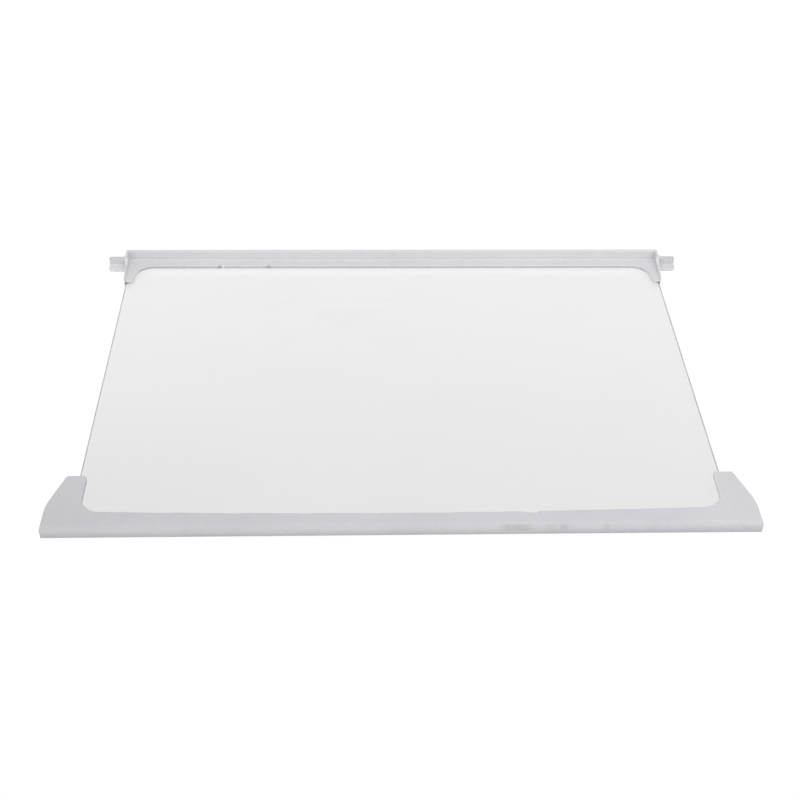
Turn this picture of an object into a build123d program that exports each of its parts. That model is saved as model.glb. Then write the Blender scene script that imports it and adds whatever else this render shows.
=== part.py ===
from build123d import *
import os

# Refrigerator shelf: a toughened glass pane held between two moulded plastic trims.
# Millimetres. +X points to the right, +Y to the back and +Z up. The origin lies under the middle of
# the shelf, on the plane that it rests on.

# Glass pane
glass_width = 440.6
glass_depth = 296.9
glass_thickness = 4.0
glass_corner_radius = 4.0
glass_arris = 0.5

# Room left around the pane in the channels of the trims
slack_above_glass = 0.2
slack_behind_glass = 0.3
front_side_slack = 0.4
rear_side_slack = 0.4

# Flanges above the pane, and the shorter lips below it
front_flange = 3.0
rear_flange = 2.6
lower_lip = 2.8

# Front trim, seen from above
nose_to_glass = 8.0
wing_reach = 17.5
wing_draw_in = 9.7
wing_length = 50.3
wing_straight = 22.5
wing_blend_radius = 34.0
wing_outer_radius = 2.4
wing_inner_radius = 2.6
wing_lap = 5.9
wing_lip_lap = 2.9
front_corner_radius = 1.4
front_lap = 6.0
front_bow = 3.3
inner_corner_radius = 13.5
front_edge_round = 1.0

# Coring under the front trim
nose_wall = 2.0
top_wall = 2.4
skirt_wall = 2.0
channel_web = 1.8
rib_thickness = 1.4
front_bay_pitch = 36.5
wing_bay_pitch = 15.5

# Rear trim
rear_wall = 2.5
end_wall = 2.3
rear_lap = 11.1
rear_lip_lap = 4.3
upstand_height = 7.3
upstand_corner_radius = 1.0
upstand_edge_round = 0.9
rear_edge_round = 0.6
arm_length = 21.6
arm_lap_root = 8.3
arm_lap_tip = 5.9
arm_lip_lap = 3.4
arm_lip_setback = 7.0
lip_tip_radius = 1.5
lip_corner_radius = 4.0
arm_draft = 1.5
arm_fillet_radius = 14.0
arm_inner_tip_radius = 2.4
arm_outer_tip_radius = 3.0
relief_width = 3.4
relief_height = 1.7

# Rims that run from the upstand along the arms
rim_crown = 6.0
rim_gusset = 9.0
rim_gusset_hollow = 1.2
rim_shoulder_height = 3.0
rim_tip_height = 0.6

# Locating pegs at the ends of the rear trim
peg_length = 13.1
peg_radius = 7.3
peg_root_fillet = 2.8
peg_axis_setback = 9.7
peg_web = 2.2
peg_level_web = 3.3
peg_flat_depth = 5.6
peg_tip_chamfer = 1.0
peg_axis_height = 8.4

# Nicks worn into the inner edges of the upper flanges: place along X, width and depth
rear_nicks = [(-145.2, 3.4, 0.8), (-104.6, 3.4, 0.8)]
long_nick_x = 83.2
long_nick_width = 12.7
long_nick_run_in = 2.0
long_nick_left_depth = 1.3
long_nick_right_depth = 1.8

# Levels and places worked out from the sizes above
channel_top = lower_lip + glass_thickness + slack_above_glass
trim_height = channel_top + front_flange
rear_height = channel_top + rear_flange
shelf_height = rear_height + upstand_height
nose_radius = trim_height / 2
half_glass = glass_width / 2
shelf_depth = nose_to_glass + glass_depth + slack_behind_glass + rear_wall
front_y = -shelf_depth / 2
back_y = shelf_depth / 2
glass_front_y = front_y + nose_to_glass
wall_face_y = back_y - rear_wall
rear_lap_y = wall_face_y - rear_lap
arm_tip_y = rear_lap_y - arm_length
wing_back_y = front_y + wing_length
wing_half_width = half_glass + wing_reach
arm_half_width = half_glass + rear_side_slack + end_wall
overshoot = trim_height


def mirrored(shape):
    """The shape and its mirror image across the middle of the shelf."""
    return shape + mirror(shape, about=Plane.YZ)


def block(x_low, x_high, y_low, y_high, z_low, z_high):
    """A box between two corners."""
    box = Box(x_high - x_low, y_high - y_low, z_high - z_low, align=Align.MIN)
    return Pos(x_low, y_low, z_low) * box


def round_corners(face, points, radii):
    """Rounds the corners of a plan face that lie at the given points, and at their mirror images."""
    for (x, y), radius in zip(points, radii):
        for side in (x, -x):
            corner = face.vertices().sort_by_distance(Vector(side, y))[0]
            face = fillet(corner, radius)
    return face


def along_x(profile, x_low, x_high):
    """A YZ profile, drawn with Y as its first axis, carried along X."""
    plane = Plane((x_low, 0, 0), x_dir=(0, 1, 0), z_dir=(1, 0, 0))
    return extrude(plane * profile, amount=x_high - x_low)


def along_y(elevation, y_low, y_high):
    """An XZ elevation carried towards the back."""
    plane = Plane((0, y_high, 0), x_dir=(1, 0, 0), z_dir=(0, -1, 0))
    return extrude(plane * elevation, amount=y_high - y_low)


def make_glass():
    plan = RectangleRounded(glass_width, glass_depth, glass_corner_radius)
    pane = extrude(plan, amount=glass_thickness)
    rims = pane.faces().sort_by(Axis.Z)[0].edges() + pane.faces().sort_by(Axis.Z)[-1].edges()
    pane = chamfer(rims, glass_arris)
    return Pos(0, glass_front_y + glass_depth / 2, lower_lip) * pane


def front_plan(side_lap):
    """Outline of the front trim from above: the rail, and a wing at each end that laps the pane's side edge."""
    inner_x = half_glass - side_lap
    corner_y = glass_front_y + front_lap + front_bow
    corners = [
        (wing_half_width, front_y),
        (wing_half_width, front_y + wing_straight),
        (wing_half_width - wing_draw_in, wing_back_y),
        (inner_x, wing_back_y),
        (inner_x, corner_y),
    ]
    radii = [front_corner_radius, wing_blend_radius, wing_outer_radius, wing_inner_radius, inner_corner_radius]
    right_side = Polyline(*corners)
    left_side = mirror(right_side, about=Plane.YZ)
    front_line = Line((-wing_half_width, front_y), (wing_half_width, front_y))
    lap_line = ThreePointArc((-inner_x, corner_y), (0, glass_front_y + front_lap), (inner_x, corner_y))
    face = make_face([*right_side.edges(), *left_side.edges(), front_line, lap_line])
    return round_corners(face, corners, radii)


def nose_section():
    """Side profile of the front trim: flat above and below, with a full round along the front."""
    y_mid = front_y + nose_radius
    y_end = wing_back_y + overshoot
    outline = Polyline((y_mid, 0), (y_end, 0), (y_end, trim_height), (y_mid, trim_height))
    nose = ThreePointArc((y_mid, trim_height), (front_y, nose_radius), (y_mid, 0))
    return make_face([*outline.edges(), nose])


def core_section():
    """Side profile of the coring: it follows the nose inside its wall, and is open below."""
    radius = nose_radius - nose_wall
    y_mid = front_y + nose_radius
    y_low = y_mid - radius
    length = wing_back_y + overshoot - y_low
    arch = Pos(y_mid, nose_radius) * Circle(radius)
    below = Pos(y_low, -overshoot) * Rectangle(length, overshoot + nose_radius, align=Align.MIN)
    behind = Pos(y_mid, -overshoot) * Rectangle(length - radius, overshoot + trim_height, align=Align.MIN)
    under_top = Pos(y_low, -overshoot) * Rectangle(length, overshoot + trim_height - top_wall, align=Align.MIN)
    return (arch + below + behind) & under_top


def front_bays():
    """Plan of the coring: a row of bays along the rail and bays under each wing, with ribs left between."""
    rail_half = half_glass - channel_web
    rail_count = round(2 * rail_half / front_bay_pitch)
    rail_pitch = 2 * rail_half / rail_count
    rail_bay = Rectangle(
        rail_pitch - rib_thickness, nose_to_glass - channel_web, align=(Align.CENTER, Align.MIN)
    )
    bays = []
    for index in range(rail_count):
        bays.append(Pos(-rail_half + (index + 0.5) * rail_pitch, front_y) * rail_bay)
    wing_count = round(wing_length / wing_bay_pitch)
    wing_pitch = wing_length / wing_count
    wing_start = half_glass + front_side_slack + channel_web
    wing_bay = Rectangle(wing_reach, wing_pitch - rib_thickness, align=(Align.MIN, Align.CENTER))
    inside = offset(front_plan(wing_lap), -skirt_wall)
    for index in range(wing_count):
        bay = Pos(wing_start, front_y + (index + 0.5) * wing_pitch) * wing_bay & inside
        bays += [bay, mirror(bay, about=Plane.YZ)]
    return bays


def long_nick():
    """Cutter for the nick in the front flange: it runs in from the left, deepens and ends square."""
    edge_y = glass_front_y + front_lap + front_bow * (long_nick_x / (half_glass - wing_lap)) ** 2
    start = long_nick_x - long_nick_width / 2
    end = long_nick_x + long_nick_width / 2
    outline = Polyline(
        (start, edge_y + overshoot),
        (start, edge_y),
        (start + long_nick_run_in, edge_y - long_nick_left_depth),
        (end, edge_y - long_nick_right_depth),
        (end, edge_y + overshoot),
        close=True,
    )
    return extrude(Pos(0, 0, channel_top) * make_face(outline.edges()), amount=overshoot)


def make_front_trim():
    top = extrude(Pos(0, 0, lower_lip) * front_plan(wing_lap), amount=trim_height - lower_lip)
    top = fillet(top.faces().sort_by(Axis.Z)[-1].edges(), front_edge_round)
    foot = extrude(front_plan(wing_lip_lap), amount=lower_lip)
    foot = fillet(foot.faces().sort_by(Axis.Z)[0].edges(), front_edge_round)
    body = (top + foot) & along_x(nose_section(), -wing_half_width, wing_half_width)
    slot_half = half_glass + front_side_slack
    body -= block(-slot_half, slot_half, glass_front_y, wing_back_y + overshoot, lower_lip, channel_top)
    core = along_x(core_section(), -wing_half_width, wing_half_width)
    for bay in front_bays():
        body -= extrude(Pos(0, 0, -overshoot) * bay, amount=overshoot + trim_height) & core
    return body - long_nick()


def rear_plan(edge_y, tip_y, root_lap, tip_lap, radii):
    """Outline of the rear trim from above: a rail with a slightly drafted arm at each end."""
    tip_outer_x = arm_half_width - arm_draft
    corners = [(tip_outer_x, tip_y), (half_glass - tip_lap, tip_y), (half_glass - root_lap, edge_y)]
    right = [(arm_half_width, back_y), (arm_half_width, rear_lap_y)] + corners
    left = [(-x, y) for x, y in reversed(right)]
    face = make_face(Polyline(*right, *left, close=True).edges())
    return round_corners(face, corners, radii)


def top_plan():
    """Plan of the rear trim above the pane."""
    radii = [arm_outer_tip_radius, arm_inner_tip_radius, arm_fillet_radius]
    return rear_plan(rear_lap_y, arm_tip_y, arm_lap_root, arm_lap_tip, radii)


def lip_plan():
    """Plan of the rear trim below the pane, where the lips are short enough not to show through the glass."""
    radii = [lip_tip_radius, lip_tip_radius, lip_corner_radius]
    return rear_plan(wall_face_y - rear_lip_lap, arm_tip_y + arm_lip_setback, arm_lip_lap, arm_lip_lap, radii)


def rim_section():
    """Side profile of an end wall: as tall as the upstand, then swept down to a low rim along the arm."""
    mid_wall_y = back_y - rear_wall / 2
    crown_y = wall_face_y - rim_crown
    shoulder = (crown_y - rim_gusset, rear_height + rim_shoulder_height)
    outline = Polyline(
        shoulder,
        (arm_tip_y, rear_height + rim_tip_height),
        (arm_tip_y, lower_lip),
        (arm_tip_y + arm_lip_setback, 0),
        (mid_wall_y, 0),
        (mid_wall_y, shelf_height),
        (crown_y, shelf_height),
    )
    sweep = SagittaArc((crown_y, shelf_height), shoulder, rim_gusset_hollow)
    return make_face([*outline.edges(), sweep])


def make_upstand():
    """The rear wall, rounded along its top, and the end walls, with the top corners of the whole rounded."""
    wall = block(-arm_half_width, arm_half_width, wall_face_y, back_y, 0, shelf_height)
    wall = fillet(wall.faces().sort_by(Axis.Z)[-1].edges().filter_by(Axis.X), upstand_edge_round)
    ends = mirrored(along_x(rim_section(), arm_half_width - end_wall, arm_half_width))
    elevation = Pos(0, shelf_height / 2) * Rectangle(2 * arm_half_width, shelf_height)
    elevation = round_corners(elevation, [(arm_half_width, shelf_height)], [upstand_corner_radius])
    plan = extrude(top_plan(), amount=shelf_height)
    return (wall + ends) & along_y(elevation, arm_tip_y, back_y) & plan


def make_pegs():
    """Locating pegs: round pegs cored out to four webs and flat below, with a fillet at the root."""
    inner_x = arm_half_width - end_wall
    tip_x = arm_half_width + peg_length
    root_radius = peg_radius + peg_root_fillet
    hollow = peg_root_fillet * (1 - 0.5 ** 0.5)
    half_profile = Polyline(
        (arm_half_width + peg_root_fillet, peg_radius),
        (tip_x - peg_tip_chamfer, peg_radius),
        (tip_x, peg_radius - peg_tip_chamfer),
        (tip_x, 0),
        (inner_x, 0),
        (inner_x, root_radius),
        (arm_half_width, root_radius),
    )
    root = ThreePointArc(
        (arm_half_width, root_radius),
        (arm_half_width + hollow, peg_radius + hollow),
        (arm_half_width + peg_root_fillet, peg_radius),
    )
    envelope = revolve(Plane.XZ * make_face([*half_profile.edges(), root]), axis=Axis.X)
    above = shelf_height - peg_axis_height
    level_top = peg_web / 2
    level_web = block(inner_x, tip_x, -root_radius, peg_axis_setback, level_top - peg_level_web, level_top)
    upright_web = block(inner_x, tip_x, -peg_web / 2, peg_web / 2, -peg_flat_depth, above)
    peg = envelope & (level_web + upright_web)
    return mirrored(Pos(0, back_y - peg_axis_setback, peg_axis_height) * peg)


def rear_nick(x, width, depth):
    """Cutter for a shallow round nick in the edge of the rear flange."""
    radius = width ** 2 / (8 * depth) + depth / 2
    cutter = Cylinder(radius, overshoot, align=(Align.CENTER, Align.CENTER, Align.MIN))
    return Pos(x, rear_lap_y + depth - radius, channel_top) * cutter


def make_rear_trim():
    top = extrude(Pos(0, 0, lower_lip) * top_plan(), amount=rear_height - lower_lip)
    top = fillet(top.faces().sort_by(Axis.Z)[-1].edges(), rear_edge_round)
    lip = extrude(lip_plan(), amount=lower_lip)
    body = top + lip + make_upstand() + make_pegs()
    slot_half = half_glass + rear_side_slack
    body -= block(-slot_half, slot_half, front_y, wall_face_y, lower_lip, channel_top)
    relief = block(
        slot_half - relief_width, slot_half, front_y, wall_face_y, channel_top, channel_top + relief_height
    )
    body -= mirrored(relief)
    for x, width, depth in rear_nicks:
        body -= rear_nick(x, width, depth)
    return body


os.makedirs("parts", exist_ok=True)
nodes = {
    "glass_pane": make_glass(),
    "front_trim": make_front_trim(),
    "rear_trim": make_rear_trim(),
}
for name, solid in nodes.items():
    export_step(solid, f"parts/{name}.step")
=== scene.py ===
import math

import bmesh
import bpy
from mathutils import Matrix, Vector


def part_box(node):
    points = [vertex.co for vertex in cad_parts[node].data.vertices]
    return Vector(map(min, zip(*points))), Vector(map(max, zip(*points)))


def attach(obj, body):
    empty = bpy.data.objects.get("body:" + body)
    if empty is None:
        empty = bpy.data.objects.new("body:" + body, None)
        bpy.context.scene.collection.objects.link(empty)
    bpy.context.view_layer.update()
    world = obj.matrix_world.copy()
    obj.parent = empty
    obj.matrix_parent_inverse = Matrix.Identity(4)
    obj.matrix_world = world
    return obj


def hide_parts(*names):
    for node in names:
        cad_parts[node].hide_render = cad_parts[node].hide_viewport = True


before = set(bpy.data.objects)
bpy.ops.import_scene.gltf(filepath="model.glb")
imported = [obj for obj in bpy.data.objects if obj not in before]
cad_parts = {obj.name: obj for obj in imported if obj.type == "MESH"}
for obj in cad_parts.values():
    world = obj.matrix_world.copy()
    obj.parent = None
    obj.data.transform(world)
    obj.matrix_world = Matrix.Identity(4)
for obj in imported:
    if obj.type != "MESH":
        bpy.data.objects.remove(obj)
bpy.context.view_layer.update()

# View: the photograph's pixels, millimetres of sensor, metres and degrees
image_size = 800.0
focal_pixels = 1200.0
sensor_width = 36.0
view_start = 0.01
camera_place = Vector((-0.02929, -0.68209, 0.59516))
camera_yaw = 2.590
camera_pitch = 41.809
camera_roll = 1.444

# Light: the room is brighter towards the front and left, and what gloss mirrors fades above the backdrop
room_even = 0.46
room_front = 0.93
room_left = 0.22
backdrop_white = 1.056
backdrop_share = 0.92
backdrop_fade = (0.56, 0.76)
ceiling_gloss = 0.06
lamp_place = (0.36, -0.12, 0.62)
lamp_width = 1.3
lamp_depth = 0.5
lamp_power = 2.55
plain_white = (1.0, 1.0, 1.0, 1.0)

# Floor: a table that is grey in front of the shelf and white beneath it
floor_level = -0.0002
floor_half = 4.0
table_grey = (0.42, 0.42, 0.42, 1.0)
table_white = (0.85, 0.85, 0.85, 1.0)
table_change = (-0.168, -0.130)

# Plastic of the trims: linear colours
front_light = (0.605, 0.605, 0.640, 1.0)
front_dark = (0.570, 0.572, 0.604, 1.0)
rear_light = (0.700, 0.698, 0.724, 1.0)
rear_dark = (0.668, 0.667, 0.691, 1.0)
# Grey of the dirt film and the smears, also used for painted shade
grime_and_shade_grey = (0.300, 0.292, 0.276, 1.0)
# Near black of the painted shade in the nicks
nick_shade_dark = (0.090, 0.088, 0.085, 1.0)
scuff_pale = (0.720, 0.720, 0.742, 1.0)
# Pale of painted light; the flecks by the nicks use it too
painted_light_pale = (0.850, 0.848, 0.862, 1.0)

# Plastic of the trims: noises, with their scales per metre
mottle_noise = {"scale": 11.0, "detail": 2.0}
cloud_noise = {"scale": 130.0, "detail": 4.0, "roughness": 0.6}
film_noise = {"scale": 34.0, "detail": 5.0, "roughness": 0.65, "distortion": 0.5}
scuff_noise = {"scale": 1.0, "detail": 2.0, "distortion": 0.35}
scuff_run_noise = {"scale": 60.0, "detail": 2.0}
mark_noise = {"scale": 420.0, "detail": 4.0, "roughness": 0.65}
grain_noise = {"scale": 2300.0, "detail": 3.0, "roughness": 0.55}
scuff_stretch = (28.0, 900.0, 900.0)

# Plastic of the trims: the range over which each noise shows, and how much it does
mottle_share = 0.6
cloud_share = 0.4
tone_range = (0.35, 0.65)
film_range = (0.56, 0.78)
film_strength = 0.06
film_rough = 0.06
scuff_range = (0.635, 0.70)
scuff_run_range = (0.5, 0.62)
scuff_strength = 0.35
scuff_rough = 0.08
scuff_depth = 0.5
mark_range = (0.25, 0.6)
mark_least = 0.55
cloud_range = (0.3, 0.7)
plastic_rough = (0.38, 0.47)
plastic_ior = 1.49
grain_strength = 0.3
grain_height = 0.00004

# Glass: form in metres, and linear colours
pane_corner = 0.004
pane_arris = 0.0005
corner_steps = 8
arris_steps = 3
glass_clear = (0.839, 0.838, 0.838, 1.0)
# Smeared glass, also the colour of the patch of painted shade
glass_smudged_and_shaded = (0.815, 0.815, 0.812, 1.0)
# Pale of the strip of painted light along the back of the pane
glass_painted_light = (0.930, 0.930, 0.934, 1.0)
glass_pass = (0.94, 0.945, 0.94, 1.0)
edge_pale = (0.770, 0.782, 0.776, 1.0)
edge_deep = (0.630, 0.648, 0.640, 1.0)

# Glass: noises, with their scales per metre, and what they do
streak_noise = {"scale": 1.0, "detail": 5.0, "roughness": 0.6, "distortion": 0.6}
streak_stretch = (9.0, 26.0, 9.0)
streak_range = (0.45, 0.68)
spot_noise = {"scale": 75.0, "detail": 4.0, "roughness": 0.6, "distortion": 0.4}
spot_range = (0.66, 0.78)
spot_share = 0.5
wave_noise = {"scale": 16.0, "detail": 1.0}
wave_strength = 0.05
wave_height = 0.0002
glass_rough = (0.012, 0.10)
glass_ior = 1.52
edge_noise = {"scale": 90.0, "detail": 4.0, "roughness": 0.6}
wheel_noise = {"scale": 1.0, "detail": 3.0}
wheel_stretch = (60.0, 60.0, 9000.0)
edge_range = (0.3, 0.7)
edge_rough = (0.34, 0.52)
wheel_strength = 0.3
wheel_height = 0.00003

# Marks on the glass, a patch of painted shade and a strip of painted light among them, in metres; the strip
# is measured from the pane's back edge
pane_smear_place = (-0.045, 0.070)
pane_smear_reach = (0.110, 0.055)
pane_smear_range = (0.3, 1.2)
pane_smear_least = 0.25
pane_shade_place = (-0.230, -0.150)
pane_shade_reach = (0.190, 0.150)
pane_shade_range = (0.2, 1.0)
pane_painted_light_start = 0.0215
pane_painted_light_full = 0.0130

# Marks on both trims: the core of a mark as a share of its reach, and how far a surface is turned to carry it
mark_core = 0.35
turned_range = (0.2, 0.5)
level_range = (0.5, 0.9)

# Straight of the flanges, along which the painted shade runs, in metres from the middle of the shelf
flange_shade_half_length = 0.2150
flange_shade_fade = 0.0030

# Nose of the front trim: smears with place, reach and strength, levels above the shelf's underside, and a
# band of painted shade
nose_smears = [
    (0.0740, 0.0130, 0.36),
    (0.0965, 0.0050, 0.16),
    (0.1050, 0.0036, 0.32),
    (0.1333, 0.0032, 0.20),
]
nose_smear_top = (0.0088, 0.0099)
nose_smear_foot = (0.0052, 0.0074)
nose_shade = 0.09
nose_shade_level = 0.0083
nose_shade_reach = 0.0028

# Nose of the front trim: how far it lies in front of the pane
nose_full = 0.005
nose_end = 0.003

# Joint of the front flange and the pane: painted shade, from the pane's front edge and from its top
joint_shade = 0.12
joint_start = 0.003
joint_full = 0.004
joint_shade_full = 0.0001
joint_shade_end = 0.0012

# Right wing: painted light on its inner side above the pane, and on its top
wing_side_light = 0.70
wing_side_light_range = (0.16, 0.18)
wing_side_light_height = 0.0002
wing_turned_range = (0.3, 0.8)
right_top_light = 0.13
right_top_light_range = (0.170, 0.215)

# Flange of the rear trim: its place, from the back of the trim and from the top of the pane
upstand_wall = 0.0025
flange_width = 0.0111
flange_top = 0.0028
flange_middle = 0.0014

# Flange of the rear trim: painted shade in its foot and along its edge, and painted light on its left end and
# on the arms' inner sides
foot_shade = 0.12
foot_shade_range = (0.0002, 0.0016)
flange_edge_shade = 0.42
flange_edge_shade_reach = 0.0013
left_top_light = 0.26
left_top_light_range = (-0.152, -0.105)
arm_side_light = 0.95
arm_side_light_reach = 0.0018
arm_turned_range = (0.75, 0.95)

# Nicks in the rear flange: painted shade in them, and pale flecks with place, distance behind the edge, reach
# and strength
nick_places = [-0.1452, -0.1046]
nick_shade = 1.0
nick_shade_reach = (0.0021, 0.0011)
nick_shade_full = 0.0007
nick_shade_top = 0.0021
nick_shade_least = 0.40
nick_flecks = [(-0.1422, 0.0, 0.0012, 0.85), (-0.1067, 0.0022, 0.0014, 0.60)]

# Pegs: each has its side, the painted shade on its upright web and the painted light on its level web
peg_marks = [(1.0, 0.30, 0.0), (-1.0, 0.15, 0.48)]
peg_range = (0.2233, 0.2241)
peg_upright_range = (0.0093, 0.0099)

# Places of colours in a mix, and of the ground edge among the pane's materials
first_colour = 6
second_colour = 7
mixed_colour = 2
edge_slot = 1


def feed(tree, socket, value):
    if isinstance(value, bpy.types.NodeSocket):
        tree.links.new(value, socket)
    else:
        socket.default_value = value


def add_node(tree, kind, settings=None, **inputs):
    """A node of a material, with its settings and the values of its named sockets."""
    node = tree.nodes.new(kind)
    for name, value in (settings or {}).items():
        setattr(node, name, value)
    for name, value in inputs.items():
        feed(tree, node.inputs[name.replace("_", " ")], value)
    return node


def new_material(name):
    material = bpy.data.materials.new(name)
    material.use_nodes = True
    material.node_tree.nodes.clear()
    return material, material.node_tree


def maths(tree, operation, first, second=0.0):
    """A sum, product or other plain operation on values."""
    node = add_node(tree, "ShaderNodeMath", {"operation": operation})
    feed(tree, node.inputs[0], first)
    feed(tree, node.inputs[1], second)
    return node.outputs[0]


def product(tree, value, *factors):
    """A value multiplied by each factor in turn."""
    for factor in factors:
        value = maths(tree, "MULTIPLY", value, factor)
    return value


def remap(tree, value, low, high, to_low=0.0, to_high=1.0):
    """A value carried smoothly from one range to another, and held at its ends."""
    node = add_node(
        tree,
        "ShaderNodeMapRange",
        {"interpolation_type": "SMOOTHSTEP"},
        Value=value,
        From_Min=low,
        From_Max=high,
        To_Min=to_low,
        To_Max=to_high,
    )
    return node.outputs[0]


def fade(tree, value, start, end):
    """1 up to the start of a range, falling smoothly to 0 at its end."""
    return remap(tree, value, start, end, 1.0, 0.0)


def noise(tree, place, scale, detail, roughness=0.5, distortion=0.0):
    node = add_node(
        tree,
        "ShaderNodeTexNoise",
        Vector=place,
        Scale=scale,
        Detail=detail,
        Roughness=roughness,
        Distortion=distortion,
    )
    return node.outputs[0]


def stretched(tree, place, scale):
    return add_node(tree, "ShaderNodeMapping", Vector=place, Scale=scale).outputs[0]


def blend(tree, share, first, second):
    """A mix of two colours."""
    node = add_node(tree, "ShaderNodeMix", {"data_type": "RGBA"})
    feed(tree, node.inputs["Factor"], share)
    feed(tree, node.inputs[first_colour], first)
    feed(tree, node.inputs[second_colour], second)
    return node.outputs[mixed_colour]


def bumped(tree, height, strength, reach):
    """The direction of a surface with a fine relief."""
    return add_node(tree, "ShaderNodeBump", Height=height, Strength=strength, Distance=reach).outputs[0]


def mix_shaders(tree, share, first, second):
    node = tree.nodes.new("ShaderNodeMixShader")
    feed(tree, node.inputs[0], share)
    tree.links.new(first, node.inputs[1])
    tree.links.new(second, node.inputs[2])
    return node.outputs[0]


def principled(tree, **inputs):
    return add_node(tree, "ShaderNodeBsdfPrincipled", **inputs).outputs[0]


def show(tree, surface, kind="ShaderNodeOutputMaterial"):
    output = tree.nodes.new(kind)
    tree.links.new(surface, output.inputs["Surface"])


def own_place(tree):
    """Where a point of the surface lies in the shelf's own frame."""
    return tree.nodes.new("ShaderNodeTexCoord").outputs["Object"]


def by_axis(tree, vector):
    parts = add_node(tree, "ShaderNodeSeparateXYZ", Vector=vector)
    return parts.outputs["X"], parts.outputs["Y"], parts.outputs["Z"]


def distance(tree, first, first_middle, second, second_middle):
    """Distance in a plane from a line along the third axis."""
    across = maths(tree, "SUBTRACT", first, first_middle)
    along = maths(tree, "SUBTRACT", second, second_middle)
    squares = maths(tree, "ADD", maths(tree, "POWER", across, 2.0), maths(tree, "POWER", along, 2.0))
    return maths(tree, "SQRT", squares)


def patch(tree, x, y, place, reach):
    """0 in the middle of an oval patch seen from above, growing to 1 at its rim and on beyond it."""
    across = maths(tree, "DIVIDE", maths(tree, "SUBTRACT", x, place[0]), reach[0])
    along = maths(tree, "DIVIDE", maths(tree, "SUBTRACT", y, place[1]), reach[1])
    return distance(tree, across, 0.0, along, 0.0)


def spot(tree, x, y, place, reach):
    """1 in the middle of an oval spot seen from above, fading to 0 at its rim."""
    return fade(tree, patch(tree, x, y, place, reach), mark_core, 1.0)


def near(tree, value, middle, reach):
    """1 at a middle, fading to 0 at the reach on both sides."""
    offset = maths(tree, "ABSOLUTE", maths(tree, "SUBTRACT", value, middle))
    return fade(tree, offset, mark_core * reach, reach)


def between_ends(tree, x):
    """1 along the straight of a flange, fading to 0 before the wings and arms."""
    end = flange_shade_half_length
    return fade(tree, maths(tree, "ABSOLUTE", x), end - flange_shade_fade, end)


def facing(tree, axis, way, low, high):
    """1 where the surface is turned one way along an axis, 0 where it is turned aside."""
    normal = tree.nodes.new("ShaderNodeNewGeometry").outputs["Normal"]
    turned = add_node(tree, "ShaderNodeSeparateXYZ", Vector=normal).outputs[axis]
    return remap(tree, product(tree, turned, way), low, high)


def seen_directly(tree):
    """1 for rays that show a surface to the camera, also through glass or in a reflection."""
    path = tree.nodes.new("ShaderNodeLightPath")
    seen = maths(tree, "MAXIMUM", path.outputs["Is Camera Ray"], path.outputs["Is Glossy Ray"])
    return maths(tree, "MAXIMUM", seen, path.outputs["Is Transmission Ray"])


def make_plastic(name, light, dark, list_marks):
    """Satin moulded plastic: faint mottling, spark-eroded grain, hairline scuffs and its own marks."""
    material, tree = new_material(name)
    place = own_place(tree)
    mottles = noise(tree, place, **mottle_noise)
    clouds = noise(tree, place, **cloud_noise)
    tone = maths(tree, "ADD", product(tree, mottles, mottle_share), product(tree, clouds, cloud_share))
    colour = blend(tree, remap(tree, tone, *tone_range), light, dark)

    darkened_patches = remap(tree, noise(tree, place, **film_noise), *film_range)
    colour = blend(tree, product(tree, darkened_patches, film_strength), colour, grime_and_shade_grey)

    hairs = noise(tree, stretched(tree, place, scuff_stretch), **scuff_noise)
    runs = remap(tree, noise(tree, place, **scuff_run_noise), *scuff_run_range)
    scuffs = product(tree, remap(tree, hairs, *scuff_range), runs)
    colour = blend(tree, product(tree, scuffs, scuff_strength), colour, scuff_pale)

    broken = remap(tree, noise(tree, place, **mark_noise), *mark_range, mark_least, 1.0)
    for mask, strength, tint in list_marks(tree, *by_axis(tree, place)):
        colour = blend(tree, product(tree, mask, broken, strength), colour, tint)

    rough = remap(tree, clouds, *cloud_range, *plastic_rough)
    rough = maths(tree, "ADD", rough, product(tree, scuffs, scuff_rough))
    rough = maths(tree, "ADD", rough, product(tree, darkened_patches, film_rough))
    relief = maths(tree, "SUBTRACT", noise(tree, place, **grain_noise), product(tree, scuffs, scuff_depth))
    normal = bumped(tree, relief, grain_strength, grain_height)
    show(tree, principled(tree, Base_Color=colour, Roughness=rough, IOR=plastic_ior, Normal=normal))
    return material


def front_marks(tree, x, y, z):
    """Smears on the nose, painted shade in a band on the nose and where the flange meets the pane, and
    painted light on the right wing.
    """
    pane_low, pane_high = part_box("glass_pane")
    pane_front = pane_low[1]
    pane_top = pane_high[2]
    marks = []

    nose = fade(tree, y, pane_front - nose_full, pane_front - nose_end)
    smeared = product(tree, nose, fade(tree, z, *nose_smear_top), remap(tree, z, *nose_smear_foot))
    for middle, reach, strength in nose_smears:
        marks.append((product(tree, smeared, near(tree, x, middle, reach)), strength, grime_and_shade_grey))

    # Painted shade low on the flange's back-facing side, where it meets the pane
    joint = fade(tree, z, pane_top + joint_shade_full, pane_top + joint_shade_end)
    behind = remap(tree, y, pane_front + joint_start, pane_front + joint_full)
    backward = facing(tree, "Y", 1.0, *turned_range)
    marks.append((product(tree, joint, behind, backward, between_ends(tree, x)), joint_shade, grime_and_shade_grey))

    # Painted light on the inner side of the right wing, above the pane
    right = remap(tree, x, *wing_side_light_range)
    above = remap(tree, z, pane_top, pane_top + wing_side_light_height)
    inside = facing(tree, "X", -1.0, *wing_turned_range)
    marks.append((product(tree, inside, right, above), wing_side_light, painted_light_pale))

    # Painted shade in a band across the nose
    nose_band = near(tree, z, nose_shade_level, nose_shade_reach)
    marks.append((product(tree, nose, nose_band), nose_shade, grime_and_shade_grey))

    # Painted light on the upward faces of the right wing
    level = facing(tree, "Z", 1.0, *level_range)
    marks.append((product(tree, level, remap(tree, x, *right_top_light_range)), right_top_light, painted_light_pale))
    return marks


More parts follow.
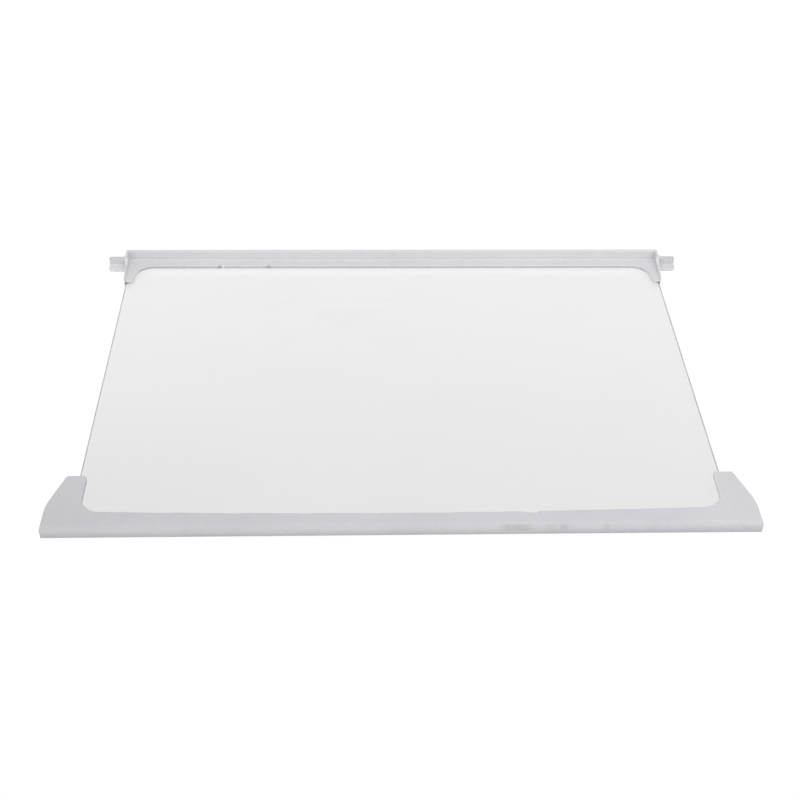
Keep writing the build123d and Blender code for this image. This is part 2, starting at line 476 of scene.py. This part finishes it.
def rear_marks(tree, x, y, z):
    """Painted shade by the upstand, along the flange, in its nicks and on the pegs' upright webs, painted
    light on the left end, the arms and the pegs' level webs, and pale flecks by the nicks.
    """
    pane_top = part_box("glass_pane")[1][2]
    wall_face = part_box("rear_trim")[1][1] - upstand_wall
    flange_edge = wall_face - flange_width
    # Painted shade in the crease at the foot of the upstand
    foot = distance(tree, y, wall_face, z, pane_top + flange_top)
    marks = [(fade(tree, foot, *foot_shade_range), foot_shade, grime_and_shade_grey)]

    # Painted shade along the front edge of the rear flange, by the pane
    edge = near(tree, z, pane_top + flange_middle, flange_edge_shade_reach)
    forward = facing(tree, "Y", -1.0, *turned_range)
    marks.append((product(tree, edge, forward, between_ends(tree, x)), flange_edge_shade, grime_and_shade_grey))

    # Painted light on the upward faces at the left end of the rear trim
    level = facing(tree, "Z", 1.0, *level_range)
    marks.append((product(tree, level, fade(tree, x, *left_top_light_range)), left_top_light, painted_light_pale))

    # Painted light on the inner sides of the arms, at the height of the flange
    inward = product(tree, maths(tree, "SIGN", x), -1.0)
    inside = facing(tree, "X", inward, *arm_turned_range)
    side = near(tree, z, pane_top + flange_middle, arm_side_light_reach)
    marks.append((product(tree, inside, side), arm_side_light, painted_light_pale))

    # Painted shade in the nicks of the rear flange, strongest low in them
    sunk = remap(tree, z, pane_top + nick_shade_full, pane_top + nick_shade_top, 1.0, nick_shade_least)
    for middle in nick_places:
        painted_shade = spot(tree, x, y, (middle, flange_edge), nick_shade_reach)
        marks.append((product(tree, painted_shade, sunk), nick_shade, nick_shade_dark))
    for middle, behind, reach, strength in nick_flecks:
        fleck = spot(tree, x, y, (middle, flange_edge + behind), (reach, reach))
        marks.append((fleck, strength, painted_light_pale))

    # Painted shade on the pegs' upright webs and painted light on their level webs
    upright = remap(tree, z, *peg_upright_range)
    for way, painted_shade, painted_light in peg_marks:
        peg = remap(tree, product(tree, x, way), *peg_range)
        raised = product(tree, peg, upright)
        marks.append((raised, painted_shade, grime_and_shade_grey))
        marks.append((maths(tree, "SUBTRACT", peg, raised), painted_light, painted_light_pale))
    return marks


def make_glass(name):
    """Clear glass with faint wiped smears, a patch of painted shade at the front left and a strip of painted
    light along the back. Light from lamps and from pale surfaces passes through it.
    """
    material, tree = new_material(name)
    place = own_place(tree)
    x, y = by_axis(tree, place)[:2]
    streaks = noise(tree, stretched(tree, place, streak_stretch), **streak_noise)
    away = patch(tree, x, y, pane_smear_place, pane_smear_reach)
    wiped = remap(tree, away, *pane_smear_range, 1.0, pane_smear_least)
    smears = product(tree, remap(tree, streaks, *streak_range), wiped)
    spots = remap(tree, noise(tree, place, **spot_noise), *spot_range, 0.0, spot_share)
    smears = maths(tree, "MAXIMUM", smears, spots)
    colour = blend(tree, smears, glass_clear, glass_smudged_and_shaded)

    # A patch of painted shade at the front left of the pane
    darkened_patches = fade(tree, patch(tree, x, y, pane_shade_place, pane_shade_reach), *pane_shade_range)
    colour = blend(tree, darkened_patches, colour, glass_smudged_and_shaded)
    # A strip of painted light on the glass in front of the rear flange
    back_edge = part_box("glass_pane")[1][1]
    painted_light_strip = remap(tree, y, back_edge - pane_painted_light_start, back_edge - pane_painted_light_full)
    colour = blend(tree, painted_light_strip, colour, glass_painted_light)

    rough = remap(tree, smears, 0.0, 1.0, *glass_rough)
    normal = bumped(tree, noise(tree, place, **wave_noise), wave_strength, wave_height)
    glass = principled(
        tree,
        Base_Color=colour,
        Roughness=rough,
        IOR=glass_ior,
        Transmission_Weight=1.0,
        Normal=normal,
    )
    clear = add_node(tree, "ShaderNodeBsdfTransparent", Color=glass_pass).outputs[0]
    path = tree.nodes.new("ShaderNodeLightPath")
    surface = mix_shaders(tree, path.outputs["Is Shadow Ray"], glass, clear)
    show(tree, mix_shaders(tree, path.outputs["Is Diffuse Ray"], surface, clear))
    return material


def make_ground_edge(name):
    """The pane's ground edge: frosted, a little green, with fine marks of the wheel along it."""
    material, tree = new_material(name)
    place = own_place(tree)
    clouds = noise(tree, place, **edge_noise)
    colour = blend(tree, remap(tree, clouds, *edge_range), edge_pale, edge_deep)
    lines = noise(tree, stretched(tree, place, wheel_stretch), **wheel_noise)
    rough = remap(tree, lines, *edge_range, *edge_rough)
    normal = bumped(tree, lines, wheel_strength, wheel_height)
    show(tree, principled(tree, Base_Color=colour, Roughness=rough, IOR=glass_ior, Normal=normal))
    return material


def rounded_outline(low, high, inset):
    """Points of the pane's outline, drawn in by the inset."""
    points = []
    radius = pane_corner - inset
    corners = [(high[0], low[1], -90), (high[0], high[1], 0), (low[0], high[1], 90), (low[0], low[1], 180)]
    for corner_x, corner_y, start in corners:
        middle_x = corner_x + math.copysign(pane_corner, -corner_x)
        middle_y = corner_y + math.copysign(pane_corner, -corner_y)
        for step in range(corner_steps + 1):
            turn = math.radians(start + 90 * step / corner_steps)
            points.append((middle_x + radius * math.cos(turn), middle_y + radius * math.sin(turn)))
    return points


def make_pane():
    """The glass pane: polished faces, and a ground edge with rounded arrises."""
    low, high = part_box("glass_pane")
    rises = []
    for step in range(arris_steps + 1):
        turn = math.radians(90 * step / arris_steps)
        rises.append((pane_arris * (1 - math.sin(turn)), pane_arris * (1 - math.cos(turn))))
    levels = [(inset, low[2] + rise) for inset, rise in rises]
    levels += [(inset, high[2] - rise) for inset, rise in reversed(rises)]
    shape = bmesh.new()
    rings = []
    for inset, level in levels:
        rings.append([shape.verts.new((x, y, level)) for x, y in rounded_outline(low, high, inset)])
    count = len(rings[0])
    for lower, upper in zip(rings, rings[1:]):
        for here in range(count):
            there = (here + 1) % count
            face = shape.faces.new((lower[here], lower[there], upper[there], upper[here]))
            face.material_index = edge_slot
            face.smooth = True
    shape.faces.new(list(reversed(rings[0])))
    shape.faces.new(rings[-1])
    for ring in (rings[0], rings[-1]):
        for here in range(count):
            there = (here + 1) % count
            shape.edges.get((ring[here], ring[there])).smooth = False
    mesh = bpy.data.meshes.new("pane")
    shape.to_mesh(mesh)
    shape.free()
    mesh.materials.append(make_glass("clear_glass"))
    mesh.materials.append(make_ground_edge("ground_glass_edge"))
    pane = bpy.data.objects.new("pane", mesh)
    bpy.context.scene.collection.objects.link(pane)
    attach(pane, "root")
    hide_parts("glass_pane")


def make_floor():
    mesh = bpy.data.meshes.new("floor")
    corners = [(-1, -1), (1, -1), (1, 1), (-1, 1)]
    mesh.from_pydata([(x * floor_half, y * floor_half, floor_level) for x, y in corners], [], [(0, 1, 2, 3)])
    floor = bpy.data.objects.new("floor", mesh)
    bpy.context.scene.collection.objects.link(floor)
    material, tree = new_material("floor_paper")
    y = by_axis(tree, own_place(tree))[1]
    tone = blend(tree, remap(tree, y, *table_change), table_grey, table_white)
    paper = add_node(tree, "ShaderNodeBsdfDiffuse", Color=tone)
    white = add_node(tree, "ShaderNodeEmission", Color=plain_white, Strength=backdrop_white)
    share = product(tree, seen_directly(tree), backdrop_share)
    show(tree, mix_shaders(tree, share, paper.outputs[0], white.outputs[0]))
    mesh.materials.append(material)


def make_world():
    world = bpy.data.worlds.new("studio")
    bpy.context.scene.world = world
    world.use_nodes = True
    tree = world.node_tree
    tree.nodes.clear()
    x, y, z = by_axis(tree, tree.nodes.new("ShaderNodeTexCoord").outputs["Generated"])
    forward = maths(tree, "MAXIMUM", product(tree, y, -room_front), 0.0)
    leftward = maths(tree, "MAXIMUM", product(tree, x, -room_left), 0.0)
    glow = maths(tree, "ADD", maths(tree, "ADD", forward, leftward), room_even)
    room = add_node(tree, "ShaderNodeBackground", Color=plain_white, Strength=glow)
    mirrored = remap(tree, z, *backdrop_fade, 1.0, ceiling_gloss)
    backdrop = add_node(tree, "ShaderNodeBackground", Color=plain_white, Strength=mirrored)
    surface = mix_shaders(tree, seen_directly(tree), room.outputs[0], backdrop.outputs[0])
    show(tree, surface, "ShaderNodeOutputWorld")


def add_lamp():
    """A soft lamp above the shelf that faces straight down."""
    lamp = bpy.data.lights.new("top_lamp", "AREA")
    lamp.shape = "RECTANGLE"
    lamp.size = lamp_width
    lamp.size_y = lamp_depth
    lamp.energy = lamp_power
    holder = bpy.data.objects.new("top_lamp", lamp)
    holder.location = lamp_place
    holder.visible_glossy = False
    holder.visible_transmission = False
    bpy.context.scene.collection.objects.link(holder)


def make_camera():
    yaw, pitch, roll = (math.radians(angle) for angle in (camera_yaw, camera_pitch, camera_roll))
    ahead = Vector((math.sin(yaw) * math.cos(pitch), math.cos(yaw) * math.cos(pitch), -math.sin(pitch)))
    level = Vector((math.cos(yaw), -math.sin(yaw), 0.0))
    upward = level.cross(ahead)
    right = level * math.cos(roll) + upward * math.sin(roll)
    top = upward * math.cos(roll) - level * math.sin(roll)
    data = bpy.data.cameras.new("camera")
    data.sensor_width = sensor_width
    data.lens = focal_pixels / image_size * sensor_width
    data.clip_start = view_start
    camera = bpy.data.objects.new("camera", data)
    turn = Matrix((right, top, -ahead)).transposed()
    camera.matrix_world = Matrix.Translation(camera_place) @ turn.to_4x4()
    bpy.context.scene.collection.objects.link(camera)
    bpy.context.scene.camera = camera


def dress(node, material):
    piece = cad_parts[node]
    piece.data.materials.clear()
    piece.data.materials.append(material)


bpy.context.scene.view_settings.view_transform = "Standard"
make_camera()
make_world()
make_floor()
add_lamp()
make_pane()
dress("front_trim", make_plastic("front_plastic", front_light, front_dark, front_marks))
dress("rear_trim", make_plastic("rear_plastic", rear_light, rear_dark, rear_marks))
